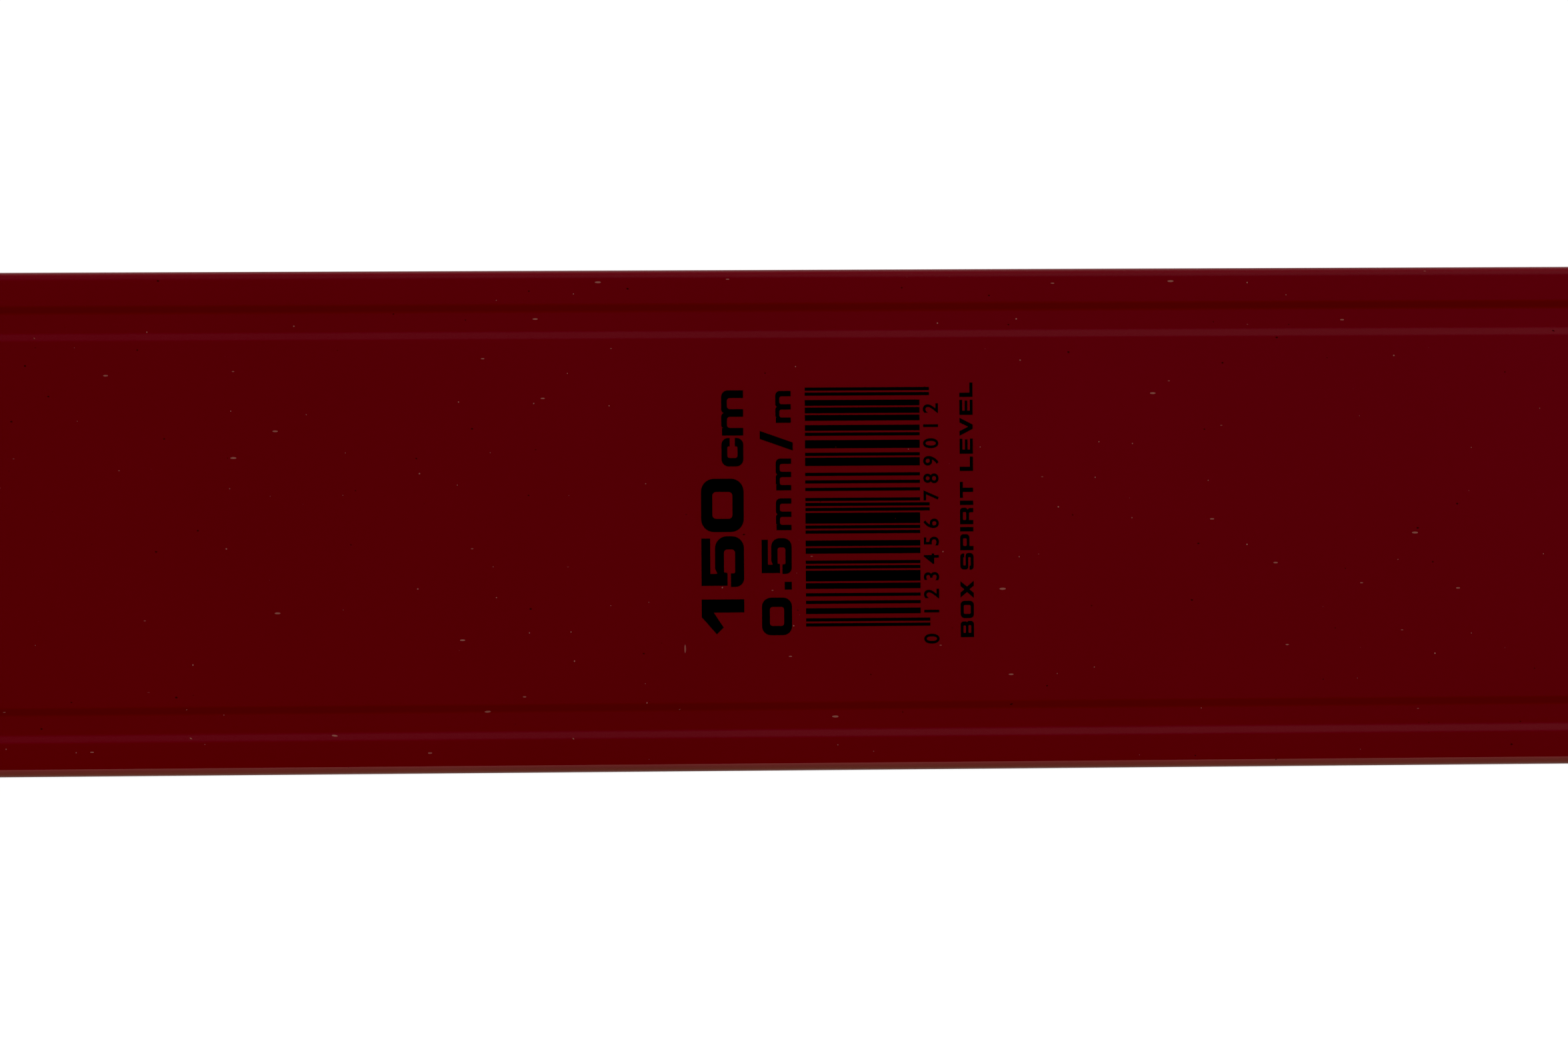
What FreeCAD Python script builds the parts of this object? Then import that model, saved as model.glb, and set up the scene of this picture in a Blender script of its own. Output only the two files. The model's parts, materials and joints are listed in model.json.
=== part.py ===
import FreeCAD, Part

import math
import os

from FreeCAD import Vector

# A box-section spirit level, standing on its lower measuring face.
# Millimetres. +X runs along the level, +Y from its printed front to its back, +Z up.
# The origin is the middle of the lower measuring face.

# Overall sizes
LEVEL_LENGTH = 1500.0  # over both end bumpers
SECTION_HEIGHT = 60.0
SECTION_WIDTH = 28.0

# Hollow section: rim, shallow groove, printed panel, groove, rim
CORNER_RADIUS = 1.1
SIDE_WALL = 2.0
EDGE_WALL = 3.2  # under each measuring face
INNER_RADIUS = 1.5
RIM_HEIGHT = 4.1
GROOVE_WIDTH = 4.1  # over both of its slopes
GROOVE_SLOPE = 0.85
GROOVE_DEPTH = 0.28
GROOVE_ROUND = 1.2
PANEL_SET = 0.06  # how far the panel lies below the rims

# Fits
HOLE_CLEARANCE = 0.15  # a collar or sleeve in its hole in the section
SLIDE_CLEARANCE = 0.10  # a carrier inside the section
LENS_CLEARANCE = 0.05
PANEL_MARGIN = 0.3  # a flange on the panel, short of the groove

# Flanges that lie on the panel
FLANGE_THICKNESS = 1.6
FLANGE_ROUND = 0.7

# End caps
CAP_FLANGE = 3.0
CAP_SET_BACK = 0.4  # from the measuring faces and the sides
CAP_CORNER = 2.5
CAP_WALL = 2.2
CAP_PLUG_DEPTH = 26.0
CAP_PLUG_GAP = 0.3
CRUSH_RIB_WIDTH = 1.4
CRUSH_RIB_START = 4.0  # from the plug's tip
CRUSH_RIB_SPACING = 22.0
BUMPER_THICKNESS = 5.0
BUMPER_ROUND = 2.0
BUMPER_GROOVE_RADIUS = 0.9
BUMPER_GROOVE_SPACING = 6.0
BUMPER_GROOVES = 7
BUMPER_STEM_HEIGHT = 26.0
BUMPER_STEM_WIDTH = 8.0
BUMPER_STEM_CORNER = 2.0
BUMPER_LOCK = 1.6  # how far the locking head spreads behind the cap
BUMPER_LOCK_DEPTH = 2.5

# Hand grips
GRIP_CENTRE = 400.0
GRIP_HOLE_LENGTH = 112.0
GRIP_OVERLAP = 3.0
GRIP_SLEEVE = 2.0
GRIP_PAD = 1.8
GRIP_PAD_HALF_WIDTH = 10.5
GRIP_END_WALL = 8.05  # solid end of the sleeve, which takes a screw
GRIP_RIDGE_RADIUS = 0.7
GRIP_RIDGE_PITCH = 3.2
GRIP_SCREW = {"radius": 1.5, "head": 2.75, "head_depth": 1.4}
GRIP_SCREW_COVER = 4.0  # shell left over the screw's blind end

# Cross recess of a screw: its arm, half its blade and its depth as shares of the screw's own sizes
RECESS_ARM = 1.3  # of the shank's radius
RECESS_BLADE = 0.35  # of the shank's radius
RECESS_DEPTH = 0.75  # of the head's depth

# Vials
BORE_RADIUS = 5.5
BORE_CAMBER = 400.0  # radius of the barrel's long curve
RING_WIDTH = 0.5
RING_DEPTH = 0.3
BUBBLE_ROOF_GAP = 0.35
BUBBLE_END_GAP = 0.5
CHANNEL_CLEARANCE = 0.12
CARRIER_SIDE = 2.8

# Horizontal vial in the middle
CENTER_WINDOW_LENGTH = 48.0
CENTER_WINDOW_HEIGHT = 16.0
CENTER_WINDOW_CORNER = 5.0
CENTER_BEZEL_END = 9.5
CENTER_BEZEL_EDGE = 2.7
CENTER_BEZEL_CORNER = 6.5
CENTER_CAVITY_HALF = 18.0
CENTER_END_WALL = 4.0
CENTER_BLOCK_HEIGHT = 17.0
CENTER_RING_OFFSETS = (6.2, 9.4)
CENTER_BUBBLE_HALF = 5.5
CENTER_BUBBLE_RADIUS = 2.0
CENTER_CARRIER_PAST_SCREW = 5.25
CENTER_CARRIER_FLOOR = 3.0
RETAINER_WALL = 3.0
RETAINER_CORNER = 0.5
TOP_SLOT_LENGTH = 42.0
TOP_SLOT_WIDTH = 12.0
TOP_SLOT_CORNER = 2.5
TOP_WINDOW_LIP = 2.0
TOP_WINDOW_LIP_THICKNESS = 1.2
TOP_WINDOW_SET = 0.3
CENTER_SCREW = {"radius": 1.25, "head": 2.3, "head_depth": 1.2}
CENTER_SCREW_LENGTH = 10.0
CENTER_SCREW_PASSAGE = 1.5  # radius of its hole in the section's wall

# Bezels and lenses
BEZEL_COLLAR = 1.5
LENS_THICKNESS = 1.5
LENS_SET = 0.5
LENS_LEDGE = 0.8
SMALLEST_CORNER = 0.5  # of a window's outline, however thick its walls

# Plumb vials near the ends
PLUMB_FROM_END = 90.0
PLUMB_OVERLAP = 2.8
PLUMB_RING = 2.2
PLUMB_CARRIER_SET = 2.4  # carrier's end face, inside the section's inner wall
PLUMB_BLOCK_WIDTH = 15.0
PLUMB_BLOCK_SIDE = 1.0  # carrier wall beside the block's front and back
PLUMB_BLOCK_CORNER_GAP = 0.5
PLUMB_SOCKET = 3.8
PLUMB_END_WALL = 3.0
PLUMB_RING_OFFSETS = (4.4,)
PLUMB_BUBBLE_HALF = 4.0
PLUMB_BUBBLE_RADIUS = 2.2

# Worked out from the sizes above
HALF_WIDTH = SECTION_WIDTH / 2
MID_Z = SECTION_HEIGHT / 2
PANEL_Y = HALF_WIDTH - PANEL_SET
PANEL_BOTTOM = RIM_HEIGHT + GROOVE_WIDTH
PANEL_TOP = SECTION_HEIGHT - PANEL_BOTTOM
INNER_HALF_WIDTH = PANEL_Y - SIDE_WALL
INNER_TOP = SECTION_HEIGHT - EDGE_WALL
PROFILE_HALF = LEVEL_LENGTH / 2 - CAP_FLANGE - BUMPER_THICKNESS
FLANGE_FACE = PANEL_Y + FLANGE_THICKNESS
FLANGE_HEIGHT = PANEL_TOP - PANEL_BOTTOM - 2 * PANEL_MARGIN
LENS_FACE = FLANGE_FACE - LENS_SET

GRIP_HOLE_HEIGHT = FLANGE_HEIGHT - 2 * GRIP_OVERLAP
GRIP_SLEEVE_HEIGHT = GRIP_HOLE_HEIGHT - 2 * HOLE_CLEARANCE
GRIP_SLEEVE_LENGTH = GRIP_HOLE_LENGTH - 2 * HOLE_CLEARANCE
GRIP_POCKET_HEIGHT = GRIP_SLEEVE_HEIGHT - 2 * GRIP_SLEEVE
GRIP_POCKET_LENGTH = GRIP_SLEEVE_LENGTH - 2 * GRIP_END_WALL
GRIP_OPENING_LENGTH = GRIP_POCKET_LENGTH - 2 * GRIP_PAD
GRIP_OPENING_HEIGHT = GRIP_POCKET_HEIGHT - 2 * GRIP_PAD
GRIP_SCREW_X = (GRIP_SLEEVE_LENGTH - GRIP_END_WALL) / 2

CENTER_BEZEL_HEIGHT = CENTER_WINDOW_HEIGHT + 2 * CENTER_BEZEL_EDGE
CENTER_BEZEL_LENGTH = CENTER_WINDOW_LENGTH + 2 * CENTER_BEZEL_END
CENTER_AXIS_Z = PANEL_TOP - PANEL_MARGIN - CENTER_BEZEL_HEIGHT / 2
CENTER_BLOCK_HALF = CENTER_CAVITY_HALF + CENTER_END_WALL
CENTER_BLOCK_HALF_WIDTH = INNER_HALF_WIDTH - SLIDE_CLEARANCE - CARRIER_SIDE
CENTER_BLOCK_TOP = CENTER_AXIS_Z + CENTER_BLOCK_HEIGHT / 2
CENTER_BLOCK_BOTTOM = CENTER_AXIS_Z - CENTER_BLOCK_HEIGHT / 2
CENTER_CARRIER_TOP = INNER_TOP - TOP_WINDOW_LIP_THICKNESS
CENTER_TRAVEL = CENTER_CAVITY_HALF - CENTER_BUBBLE_HALF - BUBBLE_END_GAP
CENTER_BUBBLE_RISE = BORE_RADIUS - BUBBLE_ROOF_GAP - CENTER_BUBBLE_RADIUS
CENTER_SCREW_X = (CENTER_WINDOW_LENGTH + CENTER_BEZEL_END) / 2
CENTER_CARRIER_HALF = CENTER_SCREW_X + CENTER_CARRIER_PAST_SCREW

PLUMB_X = LEVEL_LENGTH / 2 - PLUMB_FROM_END
PLUMB_FLANGE_RADIUS = FLANGE_HEIGHT / 2
PLUMB_HOLE_RADIUS = PLUMB_FLANGE_RADIUS - PLUMB_OVERLAP
PLUMB_OUTER_RADIUS = PLUMB_HOLE_RADIUS - HOLE_CLEARANCE
PLUMB_INNER_RADIUS = PLUMB_OUTER_RADIUS - PLUMB_RING
PLUMB_CARRIER_HALF = INNER_HALF_WIDTH - PLUMB_CARRIER_SET
PLUMB_BLOCK_HALF_DEPTH = PLUMB_CARRIER_HALF - PLUMB_BLOCK_SIDE
PLUMB_BLOCK_HALF = (
    math.sqrt(PLUMB_INNER_RADIUS**2 - (PLUMB_BLOCK_WIDTH / 2) ** 2) - PLUMB_BLOCK_CORNER_GAP
)
PLUMB_CAVITY_HALF = PLUMB_BLOCK_HALF - PLUMB_END_WALL
PLUMB_TRAVEL = 2 * (PLUMB_CAVITY_HALF - PLUMB_BUBBLE_HALF - BUBBLE_END_GAP)

SIDES = {"front": -1, "back": 1}
ENDS = {"left": -1, "right": 1}
FROM_PLANE = {
    "X": lambda u, v: Vector(0, u, v),
    "Y": lambda u, v: Vector(u, 0, v),
    "Z": lambda u, v: Vector(u, v, 0),
}
ALONG = {"X": Vector(1, 0, 0), "Y": Vector(0, 1, 0), "Z": Vector(0, 0, 1)}
TINY = 1e-6


def rounded_wire(corners, place):
    """Closed wire through corners (u, v, radius), each turned by a tangent arc of its radius."""
    turns = []
    for i, (u, v, radius) in enumerate(corners):
        here = Vector(u, v, 0)
        before = Vector(corners[i - 1][0], corners[i - 1][1], 0) - here
        after_corner = corners[(i + 1) % len(corners)]
        after = Vector(after_corner[0], after_corner[1], 0) - here
        before.normalize()
        after.normalize()
        half = before.getAngle(after) / 2
        reach = radius / math.tan(half)
        inward = before + after
        inward.normalize()
        middle = here + inward * (radius / math.sin(half) - radius)
        turns.append([place(p.x, p.y) for p in (here + before * reach, middle, here + after * reach)])
    edges = []
    for i, (start, middle, end) in enumerate(turns):
        if start.distanceToPoint(end) > TINY:
            edges.append(Part.Arc(start, middle, end).toShape())
        following = turns[(i + 1) % len(turns)][0]
        if end.distanceToPoint(following) > TINY:
            edges.append(Part.LineSegment(end, following).toShape())
    return Part.Wire(edges)


def prism(corners, axis, low, high):
    """Solid of a rounded outline, run along an axis from low to high."""
    face = Part.Face(rounded_wire(corners, FROM_PLANE[axis]))
    face.translate(ALONG[axis] * low)
    return face.extrude(ALONG[axis] * (high - low))


def rectangle(length, height, radius, middle_v=0.0, middle_u=0.0):
    """Corners of a rectangle about a middle, all with one radius."""
    u = length / 2
    v = height / 2
    signs = ((-1, -1), (1, -1), (1, 1), (-1, 1))
    return [(middle_u + s * u, middle_v + t * v, radius) for s, t in signs]


def stadium(length, height, middle_v=0.0, middle_u=0.0):
    """Corners of a slot with full round ends."""
    return rectangle(length, height, height / 2, middle_v, middle_u)


def slab(x, y, z):
    """Box from a low and a high value on each axis."""
    return Part.makeBox(x[1] - x[0], y[1] - y[0], z[1] - z[0], Vector(x[0], y[0], z[0]))


def disc(radius, low, high, x=0.0, z=MID_Z):
    """Cylinder along Y."""
    return Part.makeCylinder(radius, high - low, Vector(x, low, z), ALONG["Y"])


def round_edges_at(solid, axis, place, radius):
    """Rounds every edge that lies wholly in the plane axis = place."""
    edges = []
    for edge in solid.Edges:
        box = edge.BoundBox
        low = {"X": box.XMin, "Y": box.YMin, "Z": box.ZMin}[axis]
        high = {"X": box.XMax, "Y": box.YMax, "Z": box.ZMax}[axis]
        if abs(low - place) < 1e-3 and abs(high - place) < 1e-3:
            edges.append(edge)
    return solid.makeFillet(radius, edges)


def mirrored(shape, side):
    """The shape as built on the back, or its mirror image on the front."""
    if side > 0:
        return shape
    return shape.mirror(Vector(0, 0, 0), ALONG["Y"])


def other_end(shape, end):
    """The shape as built at the right end, or its mirror image at the left."""
    if end > 0:
        return shape
    return shape.mirror(Vector(0, 0, 0), ALONG["X"])


def screw_form(spec, length, x, top_y, z):
    """Countersunk screw with a plain head, pointing along -Y from its head's top."""
    down = Vector(0, -1, 0)
    head = Part.makeCone(spec["head"], spec["radius"], spec["head_depth"], Vector(x, top_y, z), down)
    start = Vector(x, top_y - spec["head_depth"], z)
    shank = Part.makeCylinder(spec["radius"], length - spec["head_depth"], start, down)
    return head.fuse(shank).removeSplitter()


def countersunk_screw(spec, length, x, top_y, z):
    """The same screw with the cross recess in its head."""
    arm = RECESS_ARM * spec["radius"]
    blade = RECESS_BLADE * spec["radius"]
    across_y = (top_y - RECESS_DEPTH * spec["head_depth"], top_y + 1)
    recess = slab((x - arm, x + arm), across_y, (z - blade, z + blade))
    recess = recess.fuse(slab((x - blade, x + blade), across_y, (z - arm, z + arm)))
    return screw_form(spec, length, x, top_y, z).cut(recess)


# The section -----------------------------------------------------------------


def section_corners():
    """Outer outline: one rim and groove worked out, then mirrored up and across."""
    groove = HALF_WIDTH - GROOVE_DEPTH
    lower = [
        (HALF_WIDTH, 0.0, CORNER_RADIUS),
        (HALF_WIDTH, RIM_HEIGHT, GROOVE_ROUND),
        (groove, RIM_HEIGHT + GROOVE_SLOPE, GROOVE_ROUND),
        (groove, PANEL_BOTTOM - GROOVE_SLOPE, GROOVE_ROUND),
        (PANEL_Y, PANEL_BOTTOM, GROOVE_ROUND),
    ]
    upper = [(y, SECTION_HEIGHT - z, r) for y, z, r in reversed(lower)]
    right = lower + upper
    left = [(-y, z, r) for y, z, r in reversed(right)]
    return right + left


def inner_corners(gap=0.0):
    """The section's hollow, or what fills it with a gap all round."""
    height = SECTION_HEIGHT - 2 * EDGE_WALL - 2 * gap
    return rectangle(2 * (INNER_HALF_WIDTH - gap), height, INNER_RADIUS, MID_Z)


def frame_profile():
    profile = prism(section_corners(), "X", -PROFILE_HALF, PROFILE_HALF)
    profile = profile.cut(prism(inner_corners(), "X", -PROFILE_HALF - 1, PROFILE_HALF + 1))
    reach = HALF_WIDTH + 1
    openings = []
    for end in ENDS.values():
        hole = stadium(GRIP_HOLE_LENGTH, GRIP_HOLE_HEIGHT, MID_Z, end * GRIP_CENTRE)
        openings.append(prism(hole, "Y", -reach, reach))
        openings.append(disc(PLUMB_HOLE_RADIUS, -reach, reach, end * PLUMB_X))
        openings.append(disc(CENTER_SCREW_PASSAGE, -reach, reach, end * CENTER_SCREW_X, CENTER_AXIS_Z))
    window = rectangle(CENTER_WINDOW_LENGTH, CENTER_WINDOW_HEIGHT, CENTER_WINDOW_CORNER, CENTER_AXIS_Z)
    openings.append(prism(window, "Y", -reach, reach))
    openings.append(prism(top_slot_corners(0.0, 0.0), "Z", INNER_TOP - 1, SECTION_HEIGHT + 1))
    return profile.cut(openings)


# End caps --------------------------------------------------------------------


def cap_face_corners():
    """Outline of the cap's flange and its bumper, just inside the section's."""
    height = SECTION_HEIGHT - 2 * CAP_SET_BACK
    return rectangle(SECTION_WIDTH - 2 * CAP_SET_BACK, height, CAP_CORNER, MID_Z)


def bumper_stem(low, high, spread):
    """The rubber stem through the cap's flange, or its head when spread is over 0."""
    width = BUMPER_STEM_WIDTH + 2 * spread
    height = BUMPER_STEM_HEIGHT + 2 * spread
    return prism(rectangle(width, height, BUMPER_STEM_CORNER, MID_Z), "X", low, high)


def end_cap(end):
    face = PROFILE_HALF + CAP_FLANGE
    cap = prism(cap_face_corners(), "X", PROFILE_HALF, face)
    plug = prism(inner_corners(CAP_PLUG_GAP), "X", PROFILE_HALF - CAP_PLUG_DEPTH, PROFILE_HALF)
    mouth = PROFILE_HALF - CAP_PLUG_DEPTH - 1
    hollow = prism(inner_corners(CAP_PLUG_GAP + CAP_WALL), "X", mouth, PROFILE_HALF)
    ribs = []
    rib_x = (PROFILE_HALF - CAP_PLUG_DEPTH + CRUSH_RIB_START, PROFILE_HALF)
    rib = CRUSH_RIB_WIDTH / 2
    for side in SIDES.values():
        wall = sorted((side * INNER_HALF_WIDTH, side * (INNER_HALF_WIDTH - 2 * CAP_PLUG_GAP)))
        for step in (-0.5, 0.5):
            z = MID_Z + step * CRUSH_RIB_SPACING
            ribs.append(slab(rib_x, wall, (z - rib, z + rib)))
    for wall in ((EDGE_WALL, EDGE_WALL + 2 * CAP_PLUG_GAP), (INNER_TOP - 2 * CAP_PLUG_GAP, INNER_TOP)):
        ribs.append(slab(rib_x, (-rib, rib), wall))
    cap = cap.fuse([plug] + ribs).removeSplitter()
    cap = cap.cut([hollow, bumper_stem(PROFILE_HALF - 1, face + 1, 0.0)])
    return other_end(cap, end)


def end_bumper(end):
    face = PROFILE_HALF + CAP_FLANGE
    tip = face + BUMPER_THICKNESS
    pad = prism(cap_face_corners(), "X", face, tip)
    pad = round_edges_at(pad, "X", tip, BUMPER_ROUND)
    grooves = []
    for i in range(BUMPER_GROOVES):
        z = MID_Z + (i - (BUMPER_GROOVES - 1) / 2) * BUMPER_GROOVE_SPACING
        start = Vector(tip, -HALF_WIDTH, z)
        grooves.append(Part.makeCylinder(BUMPER_GROOVE_RADIUS, SECTION_WIDTH, start, ALONG["Y"]))
    stem = bumper_stem(PROFILE_HALF, face, 0.0)
    head = bumper_stem(PROFILE_HALF - BUMPER_LOCK_DEPTH, PROFILE_HALF, BUMPER_LOCK)
    bumper = pad.cut(grooves).fuse([stem, head]).removeSplitter()
    return other_end(bumper, end)


# Hand grips ------------------------------------------------------------------


def grip_screws(end, form):
    """The two screws that clamp a grip's halves together, put in from the back."""
    length = FLANGE_FACE + PANEL_Y - GRIP_SCREW_COVER
    middle = end * GRIP_CENTRE
    places = (middle - GRIP_SCREW_X, middle + GRIP_SCREW_X)
    return [form(GRIP_SCREW, length, x, FLANGE_FACE, MID_Z) for x in places]


def grip_shell(end, side):
    """Half of the liner: a flange on the panel and a sleeve to the level's middle plane."""
    x = end * GRIP_CENTRE
    flange_outline = stadium(GRIP_HOLE_LENGTH + 2 * GRIP_OVERLAP, FLANGE_HEIGHT, MID_Z, x)
    flange = prism(flange_outline, "Y", PANEL_Y, FLANGE_FACE)
    flange = round_edges_at(flange, "Y", FLANGE_FACE, FLANGE_ROUND)
    sleeve = prism(stadium(GRIP_SLEEVE_LENGTH, GRIP_SLEEVE_HEIGHT, MID_Z, x), "Y", 0, PANEL_Y)
    mouth = prism(grip_opening_corners(x), "Y", -1, FLANGE_FACE + 1)
    pocket = prism(grip_pocket_corners(x), "Y", -1, GRIP_PAD_HALF_WIDTH)
    shell = flange.fuse(sleeve).removeSplitter().cut([mouth, pocket])
    return mirrored(shell, side).cut(grip_screws(end, screw_form))


def grip_opening_corners(x):
    return stadium(GRIP_OPENING_LENGTH, GRIP_OPENING_HEIGHT, MID_Z, x)


def grip_pocket_corners(x):
    return stadium(GRIP_POCKET_LENGTH, GRIP_POCKET_HEIGHT, MID_Z, x)


def grip_pad(end):
    """Soft lining held in the shells' pocket, ridged where fingers close on it."""
    x = end * GRIP_CENTRE
    low = -GRIP_PAD_HALF_WIDTH
    high = GRIP_PAD_HALF_WIDTH
    pad = prism(grip_pocket_corners(x), "Y", low, high)
    opening = prism(grip_opening_corners(x), "Y", low - 1, high + 1)
    straight = GRIP_OPENING_LENGTH - GRIP_OPENING_HEIGHT
    count = int(straight / GRIP_RIDGE_PITCH)
    furrows = [opening]
    for i in range(count + 1):
        place = x + (i - count / 2) * GRIP_RIDGE_PITCH
        for z in (MID_Z - GRIP_OPENING_HEIGHT / 2, MID_Z + GRIP_OPENING_HEIGHT / 2):
            furrows.append(disc(GRIP_RIDGE_RADIUS, low - 1, high + 1, place, z))
    return pad.cut(furrows)


# Vials -----------------------------------------------------------------------


def vial_cavity(half_length):
    """Barrel bore along X about the origin: a revolved arc of the long camber radius."""
    left = Vector(-half_length, bore_radius_at(half_length), 0)
    right = Vector(half_length, bore_radius_at(half_length), 0)
    edges = [
        Part.LineSegment(Vector(-half_length, 0, 0), left).toShape(),
        Part.Arc(left, Vector(0, BORE_RADIUS, 0), right).toShape(),
        Part.LineSegment(right, Vector(half_length, 0, 0)).toShape(),
        Part.LineSegment(Vector(half_length, 0, 0), Vector(-half_length, 0, 0)).toShape(),
    ]
    return Part.Face(Part.Wire(edges)).revolve(Vector(0, 0, 0), ALONG["X"], 360)


def bore_radius_at(x):
    """The barrel's radius at a distance from its middle."""
    return BORE_RADIUS - x**2 / (2 * BORE_CAMBER)


def egg(half_length, radius):
    """Ellipse turned about its long axis, X."""
    ellipse = Part.Ellipse(Vector(0, 0, 0), half_length, radius)
    edges = [
        Part.ArcOfEllipse(ellipse, 0, math.pi).toShape(),
        Part.LineSegment(Vector(-half_length, 0, 0), Vector(half_length, 0, 0)).toShape(),
    ]
    return Part.Face(Part.Wire(edges)).revolve(Vector(0, 0, 0), ALONG["X"], 360)


def bubble_channel(half_length, radius, low, high):
    """Room for a bubble whose middle travels along X from low to high."""
    wide = radius + CHANNEL_CLEARANCE
    ends = []
    for x in (low, high):
        end = egg(half_length + CHANNEL_CLEARANCE, wide)
        end.translate(Vector(x, 0, 0))
        ends.append(end)
    run = Part.makeCylinder(wide, high - low, Vector(low, 0, 0), ALONG["X"])
    return run.fuse(ends)


def ring_discs(offsets):
    """Discs as wide and as large as the reference lines, in pairs about the bore's middle."""
    discs = []
    for offset in offsets:
        radius = bore_radius_at(offset) + RING_DEPTH
        for x in (-offset, offset):
            start = Vector(x - RING_WIDTH / 2, 0, 0)
            discs.append(Part.makeCylinder(radius, RING_WIDTH, start, ALONG["X"]))
    return discs


def vial_rings(offsets, cavity_half):
    """Reference lines: thin bands let into the bore's wall, their insides flush with it."""
    cavity = vial_cavity(cavity_half)
    return Part.makeCompound([disc.cut(cavity) for disc in ring_discs(offsets)])


def vial_plug(half_length, end_wall):
    radius = bore_radius_at(half_length)
    return Part.makeCylinder(radius, end_wall, Vector(half_length, 0, 0), ALONG["X"])


def bored_block(block, cavity_half, end_wall, offsets):
    """Clear block with its barrel bore, the plug's hole and the rings' grooves."""
    bores = [vial_cavity(cavity_half), vial_plug(cavity_half, end_wall)]
    return block.cut(bores + ring_discs(offsets))


def at_center(shape):
    placed = shape.copy()
    placed.translate(Vector(0, 0, CENTER_AXIS_Z))
    return placed


def at_plumb(shape, end):
    """Stands a vial built along X upright at one end, its plug downwards."""
    placed = shape.copy()
    placed.rotate(Vector(0, 0, 0), ALONG["Y"], 90)
    placed.translate(Vector(end * PLUMB_X, 0, MID_Z))
    return placed


# Horizontal vial in the middle -------------------------------------------------


def center_bezel_screws(side, form):
    places = (-CENTER_SCREW_X, CENTER_SCREW_X)
    screws = [form(CENTER_SCREW, CENTER_SCREW_LENGTH, x, FLANGE_FACE, CENTER_AXIS_Z) for x in places]
    return [mirrored(screw, side) for screw in screws]


def center_carrier():
    """Cradle that slides inside the section and holds the block under the top slot."""
    half = CENTER_CARRIER_HALF
    width = INNER_HALF_WIDTH - SLIDE_CLEARANCE
    floor = CENTER_BLOCK_BOTTOM - CENTER_CARRIER_FLOOR
    carrier = slab((-half, half), (-width, width), (floor, CENTER_CARRIER_TOP))
    block = (-CENTER_BLOCK_HALF, CENTER_BLOCK_HALF)
    block_y = (-CENTER_BLOCK_HALF_WIDTH, CENTER_BLOCK_HALF_WIDTH)
    pocket = slab(block, block_y, (CENTER_BLOCK_BOTTOM, CENTER_CARRIER_TOP + 1))
    window = prism(center_collar_corners(0.0), "Y", -width - 1, width + 1)
    cuts = [pocket, window]
    for side in SIDES.values():
        cuts.extend(center_bezel_screws(side, screw_form))
    return carrier.cut(cuts)


def center_collar_corners(wall):
    """The bezel's collar, which passes through the section's window; wall takes its inside."""
    shrink = 2 * (HOLE_CLEARANCE + wall)
    corner = max(CENTER_WINDOW_CORNER - shrink / 2, SMALLEST_CORNER)
    length = CENTER_WINDOW_LENGTH - shrink
    return rectangle(length, CENTER_WINDOW_HEIGHT - shrink, corner, CENTER_AXIS_Z)


def center_block():
    half_height = CENTER_BLOCK_HEIGHT / 2
    width = CENTER_BLOCK_HALF_WIDTH
    block = slab((-CENTER_BLOCK_HALF, CENTER_BLOCK_HALF), (-width, width), (-half_height, half_height))
    return at_center(bored_block(block, CENTER_CAVITY_HALF, CENTER_END_WALL, CENTER_RING_OFFSETS))


def center_bubble():
    bubble = egg(CENTER_BUBBLE_HALF, CENTER_BUBBLE_RADIUS)
    bubble.translate(Vector(0, 0, CENTER_BUBBLE_RISE))
    return at_center(bubble)


def center_fluid():
    channel = bubble_channel(CENTER_BUBBLE_HALF, CENTER_BUBBLE_RADIUS, -CENTER_TRAVEL, CENTER_TRAVEL)
    channel.translate(Vector(0, 0, CENTER_BUBBLE_RISE))
    return at_center(vial_cavity(CENTER_CAVITY_HALF).cut(channel))


def center_retainer():
    """Open frame between the block and the top window, the light well's lining."""
    length = 2 * CENTER_BLOCK_HALF
    width = 2 * CENTER_BLOCK_HALF_WIDTH
    outer = rectangle(length, width, RETAINER_CORNER)
    inner = rectangle(length - 2 * RETAINER_WALL, width - 2 * RETAINER_WALL, RETAINER_CORNER)
    frame = prism(outer, "Z", CENTER_BLOCK_TOP, CENTER_CARRIER_TOP)
    return frame.cut(prism(inner, "Z", CENTER_BLOCK_TOP - 1, CENTER_CARRIER_TOP + 1))


def center_top_window():
    """Clear plug: a lip under the section's top wall and a boss that fills the slot."""
    lip = top_slot_corners(TOP_WINDOW_LIP, 0.0)
    boss = top_slot_corners(-HOLE_CLEARANCE, -HOLE_CLEARANCE)
    window = prism(lip, "Z", CENTER_CARRIER_TOP, INNER_TOP)
    return window.fuse(prism(boss, "Z", INNER_TOP, SECTION_HEIGHT - TOP_WINDOW_SET)).removeSplitter()


def top_slot_corners(grow, grow_corner):
    """The slot in the upper measuring face, grown or shrunk all round."""
    length = TOP_SLOT_LENGTH + 2 * grow
    width = TOP_SLOT_WIDTH + 2 * grow
    return rectangle(length, width, TOP_SLOT_CORNER + grow_corner)


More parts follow.
